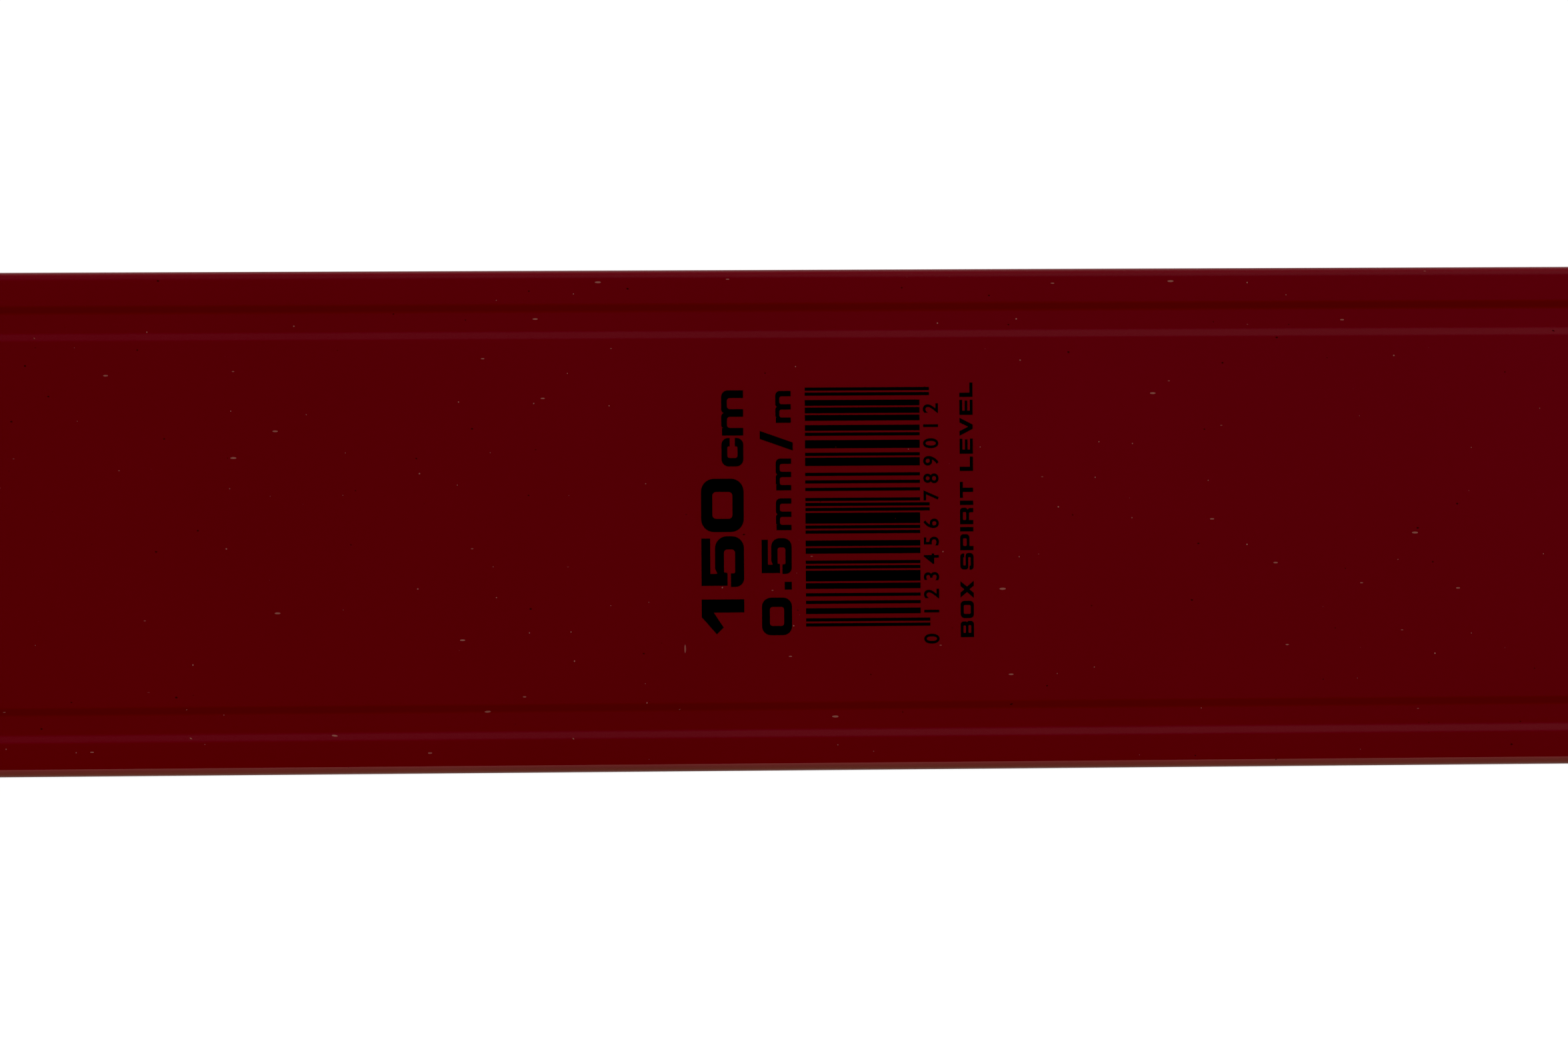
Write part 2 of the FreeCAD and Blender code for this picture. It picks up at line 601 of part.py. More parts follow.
def center_bezel(side):
    flange = rectangle(CENTER_BEZEL_LENGTH, CENTER_BEZEL_HEIGHT, CENTER_BEZEL_CORNER, CENTER_AXIS_Z)
    bezel = prism(flange, "Y", PANEL_Y, FLANGE_FACE)
    bezel = round_edges_at(bezel, "Y", FLANGE_FACE, FLANGE_ROUND)
    collar = prism(center_collar_corners(0.0), "Y", CENTER_BLOCK_HALF_WIDTH, PANEL_Y)
    lens_seat = LENS_FACE - LENS_THICKNESS
    seat = prism(center_collar_corners(BEZEL_COLLAR), "Y", lens_seat, FLANGE_FACE + 1)
    inside = center_collar_corners(BEZEL_COLLAR + LENS_LEDGE)
    light = prism(inside, "Y", CENTER_BLOCK_HALF_WIDTH - 1, FLANGE_FACE)
    bezel = bezel.fuse(collar).removeSplitter().cut([seat, light])
    return mirrored(bezel, side).cut(center_bezel_screws(side, screw_form))


def center_lens(side):
    outline = center_collar_corners(BEZEL_COLLAR + LENS_CLEARANCE)
    lens = prism(outline, "Y", LENS_FACE - LENS_THICKNESS, LENS_FACE)
    return mirrored(lens, side)


# Plumb vials -------------------------------------------------------------------


def plumb_carrier(end):
    """Short drum with a socket above and below that grips the ends of the block."""
    x = end * PLUMB_X
    half = PLUMB_CARRIER_HALF
    ring = disc(PLUMB_OUTER_RADIUS, -half, half, x).cut(disc(PLUMB_INNER_RADIUS, -half - 1, half + 1, x))
    core = disc(PLUMB_INNER_RADIUS, -half, half, x)
    light_half = PLUMB_BLOCK_HALF - PLUMB_SOCKET
    reach = PLUMB_OUTER_RADIUS + 1
    gap = slab((x - reach, x + reach), (-half - 1, half + 1), (MID_Z - light_half, MID_Z + light_half))
    return ring.fuse(core.cut(gap)).removeSplitter().cut(at_plumb(plumb_block_body(), end))


def plumb_block_body():
    width = PLUMB_BLOCK_WIDTH / 2
    depth = PLUMB_BLOCK_HALF_DEPTH
    return slab((-PLUMB_BLOCK_HALF, PLUMB_BLOCK_HALF), (-depth, depth), (-width, width))


def plumb_block(end):
    block = bored_block(plumb_block_body(), PLUMB_CAVITY_HALF, PLUMB_END_WALL, PLUMB_RING_OFFSETS)
    return at_plumb(block, end)


def plumb_bubble(end):
    """Built at the vial's upper end, where it floats while the level lies flat."""
    bubble = egg(PLUMB_BUBBLE_HALF, PLUMB_BUBBLE_RADIUS)
    bubble.translate(Vector(-PLUMB_TRAVEL / 2, 0, 0))
    return at_plumb(bubble, end)


def plumb_fluid(end):
    travel = PLUMB_TRAVEL / 2
    channel = bubble_channel(PLUMB_BUBBLE_HALF, PLUMB_BUBBLE_RADIUS, -travel, travel)
    return at_plumb(vial_cavity(PLUMB_CAVITY_HALF).cut(channel), end)


def plumb_bezel(end, side):
    x = end * PLUMB_X
    flange = disc(PLUMB_FLANGE_RADIUS, PANEL_Y, FLANGE_FACE, x)
    flange = round_edges_at(flange, "Y", FLANGE_FACE, FLANGE_ROUND)
    collar = disc(PLUMB_OUTER_RADIUS, PLUMB_CARRIER_HALF, PANEL_Y, x)
    seat = disc(plumb_lens_seat_radius(), LENS_FACE - LENS_THICKNESS, FLANGE_FACE + 1, x)
    light = disc(plumb_lens_seat_radius() - LENS_LEDGE, PLUMB_CARRIER_HALF - 1, FLANGE_FACE, x)
    return mirrored(flange.fuse(collar).removeSplitter().cut([seat, light]), side)


def plumb_lens_seat_radius():
    return PLUMB_OUTER_RADIUS - BEZEL_COLLAR


def plumb_lens(end, side):
    radius = plumb_lens_seat_radius() - LENS_CLEARANCE
    lens = disc(radius, LENS_FACE - LENS_THICKNESS, LENS_FACE, end * PLUMB_X)
    return mirrored(lens, side)


# All the pieces ------------------------------------------------------------------


def center_pieces():
    screws = []
    for side in SIDES.values():
        screws.extend(center_bezel_screws(side, countersunk_screw))
    pieces = {
        "center_vial_carrier": center_carrier(),
        "center_vial_retainer": center_retainer(),
        "center_vial_block": center_block(),
        "center_vial_plug": at_center(vial_plug(CENTER_CAVITY_HALF, CENTER_END_WALL)),
        "center_vial_rings": at_center(vial_rings(CENTER_RING_OFFSETS, CENTER_CAVITY_HALF)),
        "center_vial_fluid": center_fluid(),
        "center_vial_bubble": center_bubble(),
        "center_top_window": center_top_window(),
        "center_bezel_screws": Part.makeCompound(screws),
    }
    for name, side in SIDES.items():
        pieces[f"center_{name}_bezel"] = center_bezel(side)
        pieces[f"center_{name}_lens"] = center_lens(side)
    return pieces


def end_pieces(name, end):
    """Everything that the level has once at each end."""
    pieces = {
        f"{name}_end_cap": end_cap(end),
        f"{name}_end_bumper": end_bumper(end),
        f"{name}_grip_pad": grip_pad(end),
        f"{name}_grip_screws": Part.makeCompound(grip_screws(end, countersunk_screw)),
        f"{name}_plumb_carrier": plumb_carrier(end),
        f"{name}_plumb_block": plumb_block(end),
        f"{name}_plumb_plug": at_plumb(vial_plug(PLUMB_CAVITY_HALF, PLUMB_END_WALL), end),
        f"{name}_plumb_rings": at_plumb(vial_rings(PLUMB_RING_OFFSETS, PLUMB_CAVITY_HALF), end),
        f"{name}_plumb_fluid": plumb_fluid(end),
        f"{name}_plumb_bubble": plumb_bubble(end),
    }
    for face, side in SIDES.items():
        pieces[f"{name}_grip_{face}_shell"] = grip_shell(end, side)
        pieces[f"{name}_plumb_{face}_bezel"] = plumb_bezel(end, side)
        pieces[f"{name}_plumb_{face}_lens"] = plumb_lens(end, side)
    return pieces


def main():
    os.makedirs("parts", exist_ok=True)
    pieces = {"frame_profile": frame_profile()}
    pieces.update(center_pieces())
    for name, end in ENDS.items():
        pieces.update(end_pieces(name, end))
    for name, shape in pieces.items():
        shape.exportStep(f"parts/{name}.step")
    print(len(pieces), "pieces; plumb travel", round(PLUMB_TRAVEL, 2), "centre travel", CENTER_TRAVEL)


main()
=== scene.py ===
import json
import math

import bmesh
import bpy
import numpy as np
from mathutils import Matrix, Vector


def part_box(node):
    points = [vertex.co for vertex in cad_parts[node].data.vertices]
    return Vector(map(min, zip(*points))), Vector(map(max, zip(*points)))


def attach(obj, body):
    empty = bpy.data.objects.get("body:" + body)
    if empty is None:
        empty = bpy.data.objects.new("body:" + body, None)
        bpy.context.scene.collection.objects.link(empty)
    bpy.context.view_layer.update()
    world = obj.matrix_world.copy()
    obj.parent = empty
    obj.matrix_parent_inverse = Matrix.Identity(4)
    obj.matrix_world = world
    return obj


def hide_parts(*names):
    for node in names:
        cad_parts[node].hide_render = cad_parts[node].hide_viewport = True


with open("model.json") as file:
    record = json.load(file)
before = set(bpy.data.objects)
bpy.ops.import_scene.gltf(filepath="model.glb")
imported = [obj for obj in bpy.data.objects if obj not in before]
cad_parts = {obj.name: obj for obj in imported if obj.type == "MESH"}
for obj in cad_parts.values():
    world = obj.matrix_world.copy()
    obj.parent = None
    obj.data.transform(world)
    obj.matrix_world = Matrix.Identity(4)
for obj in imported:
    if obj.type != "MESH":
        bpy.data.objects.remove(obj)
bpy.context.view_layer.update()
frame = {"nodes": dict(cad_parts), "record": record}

# A box-section spirit level. Metres, in the frame of the CAD model: +X along the level,
# the printed front towards -Y, +Z up, the origin in the middle of the lower measuring face.
MM = 0.001
X, Y, Z = range(3)
LEVEL = "level"

# The painted section's outline
RIM_HEIGHT = 4.1 * MM
GROOVE_WIDTH = 4.1 * MM
GROOVE_SLOPE = 0.85 * MM
GROOVE_DEPTH = 0.28 * MM
GROOVE_ROUND = 1.2 * MM
CORNER_RADIUS = 1.1 * MM
PANEL_SET = 0.06 * MM
SIDE_WALL = 2.0 * MM
EDGE_WALL = 3.2 * MM
INNER_RADIUS = 1.5 * MM
ARC_STEPS = 7
STRAIGHT = 1e-4  # radians: a corner whose half angle is this near a quarter turn stays a point

# Its openings, each worked out from the part that fills it
HOLE_CLEARANCE = 0.15 * MM
GRIP_OVERLAP = 3.0 * MM  # the grip's flange past its hole
LENS_TO_OPENING = 1.7 * MM  # the bezel's collar and its clearance
WINDOW_CORNER = 5.0 * MM
TOP_WINDOW_LAP = 1.85 * MM  # the top window's lip past its slot
SLOT_CORNER = 2.5 * MM
SLOT_DEPTH = 5.0 * MM
SCREW_HEAD = 2.3 * MM
SCREW_PASSAGE = 1.5 * MM
NEARLY_HALF = 0.499  # round ends that leave a hair of straight between them
OVERRUN = 2.0 * MM  # how far a cutting tool runs past the face it cuts
HOLLOW_OVERRUN = 5.0 * MM

PROFILE_LOW, PROFILE_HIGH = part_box("frame_profile")
HALF_LENGTH = PROFILE_HIGH[0]
HALF_WIDTH = PROFILE_HIGH[1]
SECTION_HEIGHT = PROFILE_HIGH[2]
MID_Z = SECTION_HEIGHT / 2
PANEL_Y = HALF_WIDTH - PANEL_SET
PANEL_BOTTOM = RIM_HEIGHT + GROOVE_WIDTH
ENDS = ("left", "right")

# Edges that turn by more than this are left sharp
SECTION_SHARP = math.radians(24)
BLOCK_SHARP = math.radians(30)
VIAL_SHARP = math.radians(40)

# The print on the front panel
PRINT_X = 200.0 * MM  # middle of the printed block
PRINT_THICKNESS = 0.02 * MM


# Outlines and meshes ---------------------------------------------------------------


def rounded(corners, steps=ARC_STEPS):
    """Points of a closed outline whose corners (u, v, radius) are each a tangent arc.

    The arc starts where the incoming side leaves it, at radius / tan(half the angle) from the
    corner, and is sampled at equal turns about its centre on the corner's bisector."""
    points = []
    count = len(corners)
    for i, (u, v, radius) in enumerate(corners):
        here = np.array([u, v])
        back = np.array(corners[i - 1][:2]) - here
        ahead = np.array(corners[(i + 1) % count][:2]) - here
        back = back / np.linalg.norm(back)
        ahead = ahead / np.linalg.norm(ahead)
        half = math.acos(np.clip(back @ ahead, -1, 1)) / 2
        if radius == 0 or half > math.pi / 2 - STRAIGHT:
            points.append(here[None])
            continue
        centre = here + (back + ahead) / np.linalg.norm(back + ahead) * radius / math.sin(half)
        start = here + back * radius / math.tan(half) - centre
        end = here + ahead * radius / math.tan(half) - centre
        turn = math.atan2(start[0] * end[1] - start[1] * end[0], start @ end)
        angles = math.atan2(start[1], start[0]) + turn * np.linspace(0, 1, steps + 1)
        points.append(centre + radius * np.column_stack([np.cos(angles), np.sin(angles)]))
    return np.vstack(points)


def box_corners(u0, v0, u1, v1, radius):
    """Corners of an upright rectangle, anticlockwise."""
    return [(u0, v0, radius), (u1, v0, radius), (u1, v1, radius), (u0, v1, radius)]


def round_outline(u, v, radius, count):
    """Points evenly round a circle."""
    angles = np.linspace(0, 2 * math.pi, count, endpoint=False)
    return np.column_stack([u + radius * np.cos(angles), v + radius * np.sin(angles)])


def new_mesh(name, points, faces):
    """A mesh from an array of points and lists of the points round each face."""
    mesh = bpy.data.meshes.new(name)
    mesh.from_pydata(np.asarray(points).tolist(), [], [list(map(int, f)) for f in faces])
    mesh.update()
    return mesh


def new_piece(name, mesh, material, body=LEVEL, replaces=()):
    """A finished piece: its mesh, its material, the body it rides on and what it stands for."""
    piece = bpy.data.objects.new(name, mesh)
    bpy.context.scene.collection.objects.link(piece)
    mesh.materials.clear()
    mesh.materials.append(material)
    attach(piece, body)
    if replaces:
        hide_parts(*replaces)
    return piece


def side_faces(count, rows):
    """Quads between successive closed rows of count points."""
    i = np.arange(count)
    j = (i + 1) % count
    band = np.column_stack([i, j, count + j, count + i])
    return np.vstack([band + row * count for row in range(rows - 1)]).tolist()


def prism(outline, axis, low, high):
    """Points and faces of a closed prism: an outline carried straight along an axis.

    The outline's (u, v) are the two other axes in order, (y, z), (x, z) or (x, y)."""
    count = len(outline)
    points = np.vstack([np.insert(outline, axis, at, axis=1) for at in (low, high)])
    faces = side_faces(count, 2)
    faces.append(list(range(count))[::-1])
    faces.append(list(range(count, 2 * count)))
    return points, faces


def joined(shapes):
    """One set of points and faces from several."""
    points, faces, start = [], [], 0
    for some_points, some_faces in shapes:
        points.append(some_points)
        faces.extend([[start + k for k in face] for face in some_faces])
        start += len(some_points)
    return np.vstack(points), faces


def outward(mesh):
    """Turns the faces of closed shells outwards."""
    work = bmesh.new()
    work.from_mesh(mesh)
    bmesh.ops.recalc_face_normals(work, faces=work.faces)
    work.to_mesh(mesh)
    work.free()
    return mesh


def evaluated(mesh, make_modifiers):
    """The mesh with modifiers applied, taken from a short-lived object."""
    holder = bpy.data.objects.new("holder", mesh)
    bpy.context.scene.collection.objects.link(holder)
    make_modifiers(holder)
    graph = bpy.context.evaluated_depsgraph_get()
    result = bpy.data.meshes.new_from_object(holder.evaluated_get(graph), depsgraph=graph)
    bpy.data.objects.remove(holder)
    return result


def rounded_edges(mesh, width):
    """The mesh with small rounded edges, shaded smooth round them."""
    def modifiers(holder):
        bevel = holder.modifiers.new("edges", "BEVEL")
        bevel.width = width
        bevel.segments = 2
        bevel.limit_method = "ANGLE"
        bevel.angle_limit = BLOCK_SHARP
        bevel.harden_normals = False

    return smoothed(evaluated(mesh, modifiers), BLOCK_SHARP)


def smoothed(mesh, sharp):
    """Shades the mesh smooth, but for the edges that turn by more than an angle."""
    mesh.shade_smooth()
    mesh.set_sharp_from_angle(angle=sharp)
    return mesh


# The painted section ------------------------------------------------------------------


def section_outline():
    """Outer outline, (y, z): rim, groove, panel, groove, rim, mirrored across."""
    floor_y = HALF_WIDTH - GROOVE_DEPTH
    lower = [
        (HALF_WIDTH, 0.0, CORNER_RADIUS),
        (HALF_WIDTH, RIM_HEIGHT, GROOVE_ROUND),
        (floor_y, RIM_HEIGHT + GROOVE_SLOPE, GROOVE_ROUND),
        (floor_y, PANEL_BOTTOM - GROOVE_SLOPE, GROOVE_ROUND),
        (PANEL_Y, PANEL_BOTTOM, GROOVE_ROUND),
    ]
    right = lower + [(y, SECTION_HEIGHT - z, r) for y, z, r in reversed(lower)]
    return rounded(right + [(-y, z, r) for y, z, r in reversed(right)])


def profile_tube():
    """The hollow section as a closed shell: the outer outline and the hollow's, carried along X."""
    outer = section_outline()
    inner_half = PANEL_Y - SIDE_WALL
    inner = rounded(box_corners(
        -inner_half, EDGE_WALL, inner_half, SECTION_HEIGHT - EDGE_WALL, INNER_RADIUS))
    solid = new_mesh("section", *prism(outer, X, -HALF_LENGTH, HALF_LENGTH))
    reach = HALF_LENGTH + HOLLOW_OVERRUN
    hollow = new_mesh("hollow", *prism(inner, X, -reach, reach))
    return outward(solid), outward(hollow)


def grown_box(node, amount, across=Z):
    """The sides (u0, v0, u1, v1) of a node's box grown by an amount: u along the level, v across."""
    low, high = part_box(node)
    return low[X] - amount, low[across] - amount, high[X] + amount, high[across] + amount


def profile_cutters():
    """Prisms for the hand holes, the vial windows, the screws' passages and the top slot."""
    outlines = []
    for end in ENDS:
        x0, z0, x1, z1 = grown_box(f"{end}_grip_front_shell", -GRIP_OVERLAP)
        hand_hole = box_corners(x0, z0, x1, z1, NEARLY_HALF * (z1 - z0))
        outlines.append(rounded(hand_hole, steps=24))
        x0, z0, x1, z1 = grown_box(f"{end}_plumb_carrier", HOLE_CLEARANCE)
        outlines.append(round_outline((x0 + x1) / 2, (z0 + z1) / 2, (x1 - x0) / 2, count=96))
    window = box_corners(*grown_box("center_front_lens", LENS_TO_OPENING), WINDOW_CORNER)
    outlines.append(rounded(window, steps=10))
    x0, z0, x1, z1 = grown_box("center_bezel_screws", -SCREW_HEAD)
    for x in (x0, x1):
        outlines.append(round_outline(x, (z0 + z1) / 2, SCREW_PASSAGE, count=24))
    reach = HALF_WIDTH + OVERRUN
    shapes = [prism(outline, Y, -reach, reach) for outline in outlines]
    slot = box_corners(*grown_box("center_top_window", -TOP_WINDOW_LAP, across=Y), SLOT_CORNER)
    bottom, top = SECTION_HEIGHT - SLOT_DEPTH, SECTION_HEIGHT + OVERRUN
    shapes.append(prism(rounded(slot, steps=8), Z, bottom, top))
    return [outward(new_mesh("cutter", *shape)) for shape in shapes]


def cut(mesh, *tools):
    """The mesh less each tool, exactly."""
    holders = []
    for tool in tools:
        holder = bpy.data.objects.new("tool", tool)
        bpy.context.scene.collection.objects.link(holder)
        holders.append(holder)

    def modifiers(target):
        for holder in holders:
            step = target.modifiers.new("cut", "BOOLEAN")
            step.operation = "DIFFERENCE"
            step.solver = "EXACT"
            step.object = holder

    made = evaluated(mesh, modifiers)
    for holder in holders:
        bpy.data.objects.remove(holder)
    return made


def painted_section(material):
    """The section less its hollow and its openings, its flat faces shaded flat."""
    solid, hollow = profile_tube()
    mesh = smoothed(cut(solid, hollow, *profile_cutters()), SECTION_SHARP)
    piece = new_piece("painted_section", mesh, material, replaces=["frame_profile"])
    weighted = piece.modifiers.new("flat faces stay flat", "WEIGHTED_NORMAL")
    weighted.keep_sharp = True
    weighted.weight = 100


# The print -----------------------------------------------------------------------------

# The wide lettering, in capital heights: each letter's width, then its outlines, whose corners are
# (u in reading direction, v up, radius)
GLYPHS = {
    "0": (1.25, [box_corners(0, 0, 1.25, 1, 0.30), box_corners(0.31, 0.265, 0.94, 0.735, 0.09)]),
    "1": (1.01, [[(0.51, 0, 0), (0.82, 0, 0), (0.82, 1, 0), (0.4, 1, 0), (0.355, 0.955, 0),
                  (0, 0.647, 0), (0.16, 0.486, 0), (0.51, 0.715, 0)]]),
    "5": (1.19, [[(0.03, 1, 0), (0.03, 0.39, 0), (0.34, 0.39, 0.03), (0.34, 0.47, 0.02),
                  (0.88, 0.47, 0.08), (0.88, 0.21, 0.08), (0.32, 0.21, 0.04), (0.32, 0.31, 0),
                  (0, 0.31, 0), (0, 0, 0.2), (1.19, 0, 0.28), (1.19, 0.68, 0.28), (0.42, 0.68, 0.1),
                  (0.31, 0.62, 0.02), (0.31, 0.79, 0), (1.14, 0.79, 0), (1.14, 1, 0)]]),
    "c": (0.67, [[(0, 0, 0.17), (0.67, 0, 0.16), (0.67, 0.2, 0), (0.47, 0.2, 0), (0.47, 0.14, 0.03),
                  (0.2, 0.14, 0.05), (0.2, 0.375, 0.05), (0.47, 0.375, 0.03), (0.47, 0.32, 0),
                  (0.67, 0.32, 0), (0.67, 0.515, 0.16), (0, 0.515, 0.17)]]),
    "m": (1.06, [[(0, 0, 0), (0.18, 0, 0), (0.18, 0.38, 0.07), (0.44, 0.38, 0.07), (0.44, 0, 0),
                  (0.62, 0, 0), (0.62, 0.38, 0.07), (0.88, 0.38, 0.07), (0.88, 0, 0), (1.06, 0, 0),
                  (1.06, 0.515, 0.15), (0.57, 0.515, 0.08), (0.53, 0.46, 0), (0.49, 0.515, 0.08),
                  (0.2, 0.515, 0.05), (0.18, 0.46, 0), (0.18, 0.5, 0), (0, 0.5, 0)]]),
    ".": (0.26, [box_corners(0, 0, 0.26, 0.24, 0.0)]),
    "/": (0.66, [[(0, -0.06, 0), (0.27, -0.06, 0), (0.66, 1.04, 0), (0.39, 1.04, 0)]]),
    "S": (1.26, [[(0, 0, 0.22), (1.26, 0, 0.26), (1.26, 0.6, 0.2), (0.33, 0.6, 0.05),
                  (0.33, 0.77, 0.05), (0.93, 0.77, 0.03), (0.93, 0.7, 0), (1.23, 0.7, 0), (1.23, 1, 0.22),
                  (0.02, 1, 0.26), (0.02, 0.4, 0.2), (0.94, 0.4, 0.05), (0.94, 0.22, 0.05),
                  (0.31, 0.22, 0.03), (0.31, 0.31, 0), (0, 0.31, 0)]]),
    "P": (1.2, [[(0, 0, 0), (0.32, 0, 0), (0.32, 0.3, 0), (1.2, 0.3, 0.24), (1.2, 1, 0.24), (0, 1, 0)],
                box_corners(0.32, 0.51, 0.89, 0.78, 0.07)]),
    "I": (0.33, [box_corners(0, 0, 0.33, 1, 0.0)]),
    "R": (1.24, [[(0, 0, 0), (0.32, 0, 0), (0.32, 0.32, 0), (0.86, 0.32, 0.06), (0.9, 0.24, 0.05),
                  (0.9, 0, 0), (1.22, 0, 0), (1.22, 0.34, 0.12), (1.1, 0.42, 0.02), (1.24, 0.52, 0.12),
                  (1.24, 1, 0.22), (0, 1, 0)],
                 box_corners(0.32, 0.54, 0.92, 0.78, 0.07)]),
    "T": (1.2, [[(0.44, 0, 0), (0.76, 0, 0), (0.76, 0.77, 0), (1.2, 0.77, 0), (1.2, 1, 0), (0, 1, 0),
                 (0, 0.77, 0), (0.44, 0.77, 0)]]),
    "L": (1.08, [[(0, 0, 0), (1.08, 0, 0), (1.08, 0.24, 0), (0.32, 0.24, 0), (0.32, 1, 0), (0, 1, 0)]]),
    "E": (1.14, [[(0, 0, 0), (1.14, 0, 0), (1.14, 0.22, 0), (0.32, 0.22, 0), (0.32, 0.4, 0),
                  (1.08, 0.4, 0), (1.08, 0.6, 0), (0.32, 0.6, 0), (0.32, 0.78, 0), (1.13, 0.78, 0),
                  (1.13, 1, 0), (0, 1, 0)]]),
    "V": (1.36, [[(0.52, 0, 0), (0.84, 0, 0), (1.36, 1, 0), (1.0, 1, 0), (0.68, 0.34, 0), (0.36, 1, 0),
                  (0, 1, 0)]]),
    "B": (1.22, [[(0, 0, 0), (1.22, 0, 0.24), (1.22, 0.47, 0.14), (1.1, 0.52, 0.02), (1.18, 0.57, 0.12),
                  (1.18, 1, 0.22), (0, 1, 0)],
                 box_corners(0.32, 0.21, 0.9, 0.41, 0.06), box_corners(0.32, 0.61, 0.87, 0.79, 0.06)]),
    "O": (1.3, [box_corners(0, 0, 1.3, 1, 0.30), box_corners(0.32, 0.24, 0.98, 0.76, 0.09)]),
    "X": (1.3, [[(0, 0, 0), (0.38, 0, 0), (0.65, 0.32, 0), (0.92, 0, 0), (1.3, 0, 0), (0.86, 0.51, 0),
                 (1.27, 1, 0), (0.89, 1, 0), (0.65, 0.71, 0), (0.41, 1, 0), (0.03, 1, 0),
                 (0.44, 0.51, 0)]]),
    " ": (0.4, []),
}

# Seven-module codes of the digits in a retail code's left and right halves
LEFT_CODES = ("0001101", "0011001", "0010011", "0111101", "0100011",
              "0110001", "0101111", "0111011", "0110111", "0001011")
CODE_DIGITS = "0123456789012"
CODE_GUARDS = (range(0, 3), range(45, 50), range(92, 95))  # modules, at both ends and the middle
CODE_MODULE = 0.3 * MM
INK_SPREAD = 0.045 * MM  # how far the ink runs past each side of a bar

# The code's digits: where their middles stand, in modules from its start
LEAD_DIGIT = -4.5
FIRST_DIGIT = 6.5
DIGIT_STEP = 7
HALF_DIGITS = 6
HALF_SHIFT = 4  # the right half's digits stand this much further on
DIGIT_SPREAD = 0.04 * MM
DIGIT_SHARE = 0.7  # a digit's height as a share of the built-in face's size


def filled(outlines, name):
    """Mesh of flat filled outlines, holes left open, given the ink's thickness."""
    curve = bpy.data.curves.new(name, "CURVE")
    curve.dimensions = "2D"
    curve.fill_mode = "BOTH"
    curve.extrude = PRINT_THICKNESS / 2
    for outline in outlines:
        spline = curve.splines.new("POLY")
        spline.points.add(len(outline) - 1)
        flat = np.zeros((len(outline), 4))
        flat[:, :2] = outline
        flat[:, 3] = 1
        spline.points.foreach_set("co", flat.ravel())
        spline.use_cyclic_u = True
    holder = bpy.data.objects.new(name, curve)
    mesh = bpy.data.meshes.new_from_object(holder)
    bpy.data.objects.remove(holder)
    return mesh


def on_front(mesh, x, z):
    """Lays flat lettering on the front panel, reading upwards, with its baseline at x and start at z."""
    count = len(mesh.vertices)
    flat = np.empty(count * 3)
    mesh.vertices.foreach_get("co", flat)
    flat = flat.reshape(-1, 3)
    placed = np.column_stack([x - flat[:, 1], -PANEL_Y - flat[:, 2], z + flat[:, 0]])
    mesh.vertices.foreach_set("co", placed.ravel())
    mesh.update()
    return mesh


def line_of(text, height, length):
    """Outlines of a line in the wide lettering, its letters spaced out to fill a length."""
    widths = [GLYPHS[letter][0] for letter in text]
    gap = (length / height - sum(widths)) / (len(text) - 1)
    outlines, pen = [], 0.0
    for letter, width in zip(text, widths):
        for corners in GLYPHS[letter][1]:
            outlines.append((rounded(corners) + [pen, 0]) * height)
        pen += width + gap
    return outlines


def code_modules():
    """The bars of a thirteen-digit retail code as a string of 95 modules."""
    left = "".join(LEFT_CODES[int(d)] for d in CODE_DIGITS[1:7])
    right = "".join(LEFT_CODES[int(d)] for d in CODE_DIGITS[7:])
    flipped = right.translate(str.maketrans("01", "10"))
    return "101" + left + "01010" + flipped + "101"


def code_bars(height, guard):
    """Rectangles of the dark modules; the guard bars at both ends and the middle reach lower."""
    modules = code_modules()
    outlines, start = [], None
    for i, dark in enumerate(modules + "0"):
        if dark == "1" and start is None:
            start = i
        if dark == "0" and start is not None:
            is_guard = any(start in guard_bars for guard_bars in CODE_GUARDS)
            bottom = -guard if is_guard else 0.0
            low, high = start * CODE_MODULE - INK_SPREAD, i * CODE_MODULE + INK_SPREAD
            outlines.append(rounded(box_corners(low, bottom, high, height, 0.0)))
            start = None
    return outlines


def digit_places():
    """Middles of the code's digits from its start: one before it, then six under each half."""
    places = [LEAD_DIGIT]
    for i in range(len(CODE_DIGITS) - 1):
        shift = HALF_SHIFT if i >= HALF_DIGITS else 0
        places.append(FIRST_DIGIT + DIGIT_STEP * i + shift)
    return [place * CODE_MODULE for place in places]


def small_digits(text, height, places):
    """Digits in the plain built-in face, centred on places along the line."""
    shapes = []
    for letter, place in zip(text, places):
        curve = bpy.data.curves.new("digit", "FONT")
        curve.body = letter
        curve.size = height / DIGIT_SHARE
        curve.align_x = "CENTER"
        curve.extrude = PRINT_THICKNESS / 2
        curve.offset = DIGIT_SPREAD
        holder = bpy.data.objects.new("digit", curve)
        mesh = bpy.data.meshes.new_from_object(holder)
        bpy.data.objects.remove(holder)
        points = np.empty(len(mesh.vertices) * 3)
        mesh.vertices.foreach_get("co", points)
        points = points.reshape(-1, 3) + [place, 0, 0]
        shapes.append((points, [list(face.vertices) for face in mesh.polygons]))
    return new_mesh("digits", *joined(shapes))


